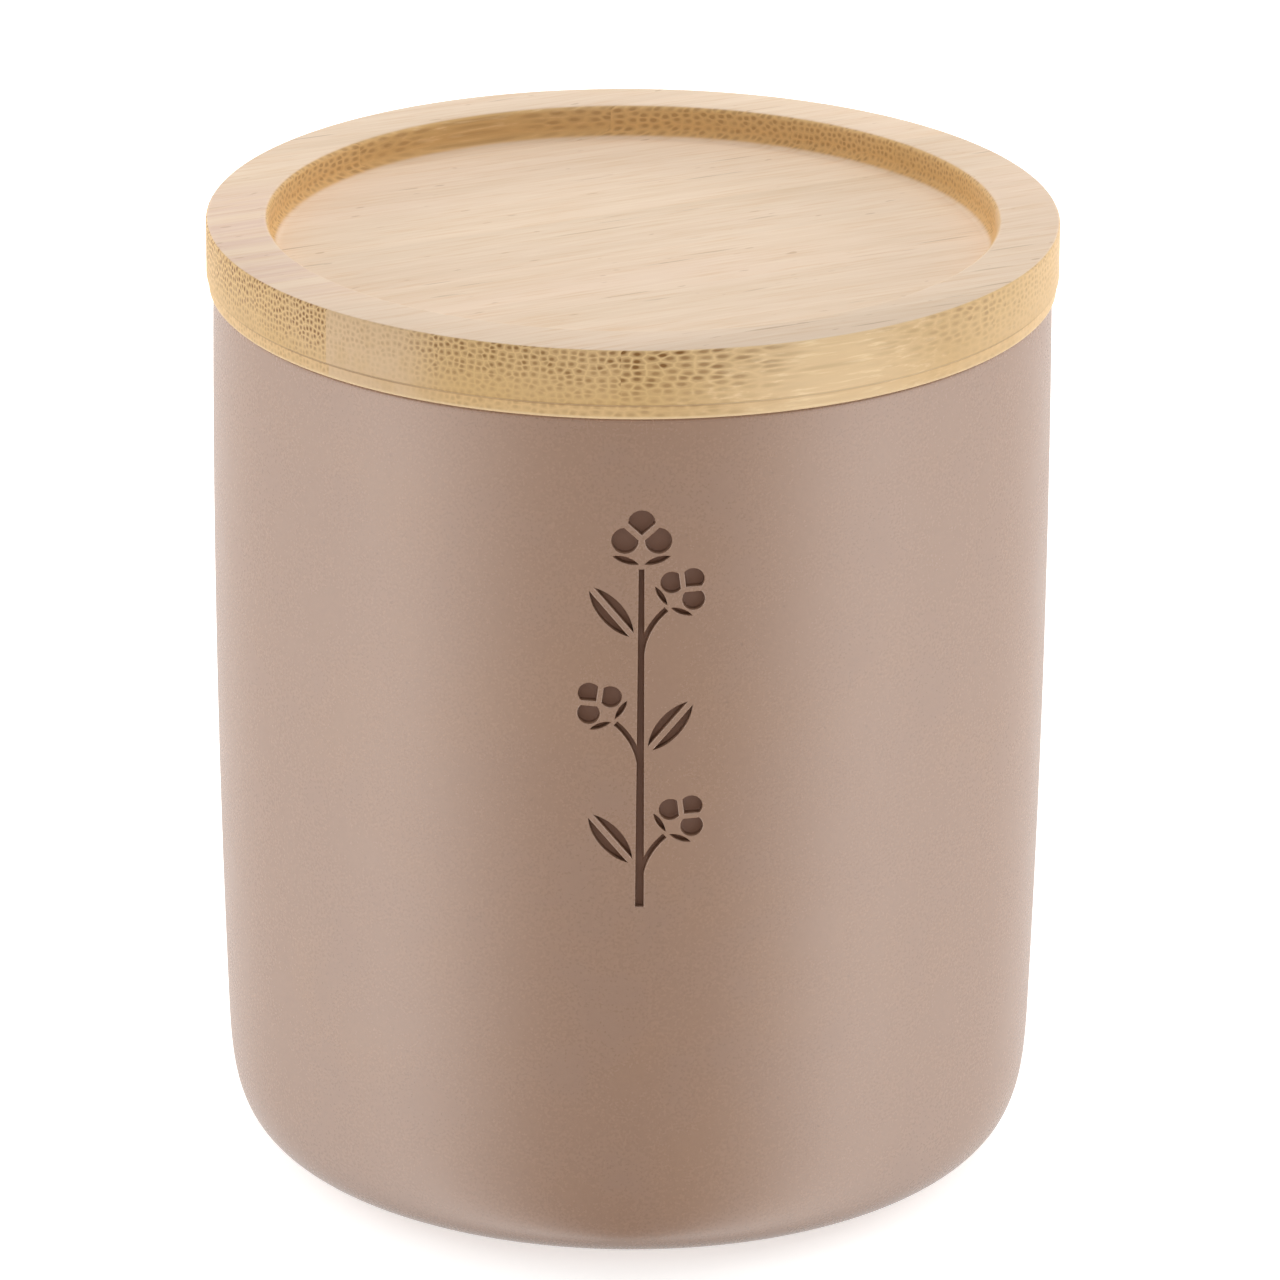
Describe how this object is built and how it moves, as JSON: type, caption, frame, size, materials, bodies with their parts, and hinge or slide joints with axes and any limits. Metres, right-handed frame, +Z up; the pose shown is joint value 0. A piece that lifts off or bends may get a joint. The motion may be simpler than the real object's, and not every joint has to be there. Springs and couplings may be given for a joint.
{
  "type": "cotton storage jar",
  "caption": "Round cast jar with a slightly swelling wall and a carved sprig, closed by a lift-off bamboo lid with a shallow round recess on top.",
  "frame": {"origin": "middle of the flat base that the jar stands on", "axes": "+Z up along the jar's axis, -Y towards the carved front"},
  "size_m": [0.101, 0.101, 0.1156],
  "materials": {
    "cast_jar": "matte, cast",
    "bamboo_top": "sanded bamboo",
    "bamboo_lower": "sanded bamboo",
    "silicone": "matte translucent"
  },
  "bodies": {
    "jar": {"jar": "cast_jar"},
    "lid": {"lid_board": "bamboo_top", "lid_backing": "bamboo_lower", "seal_ring": "silicone"}
  },
  "joints": [
    {"name": "lid_lift", "type": "slide", "parent": "jar", "child": "lid", "axis": [0, 0, 1], "range_m": [0, 0.06]}
  ]
}
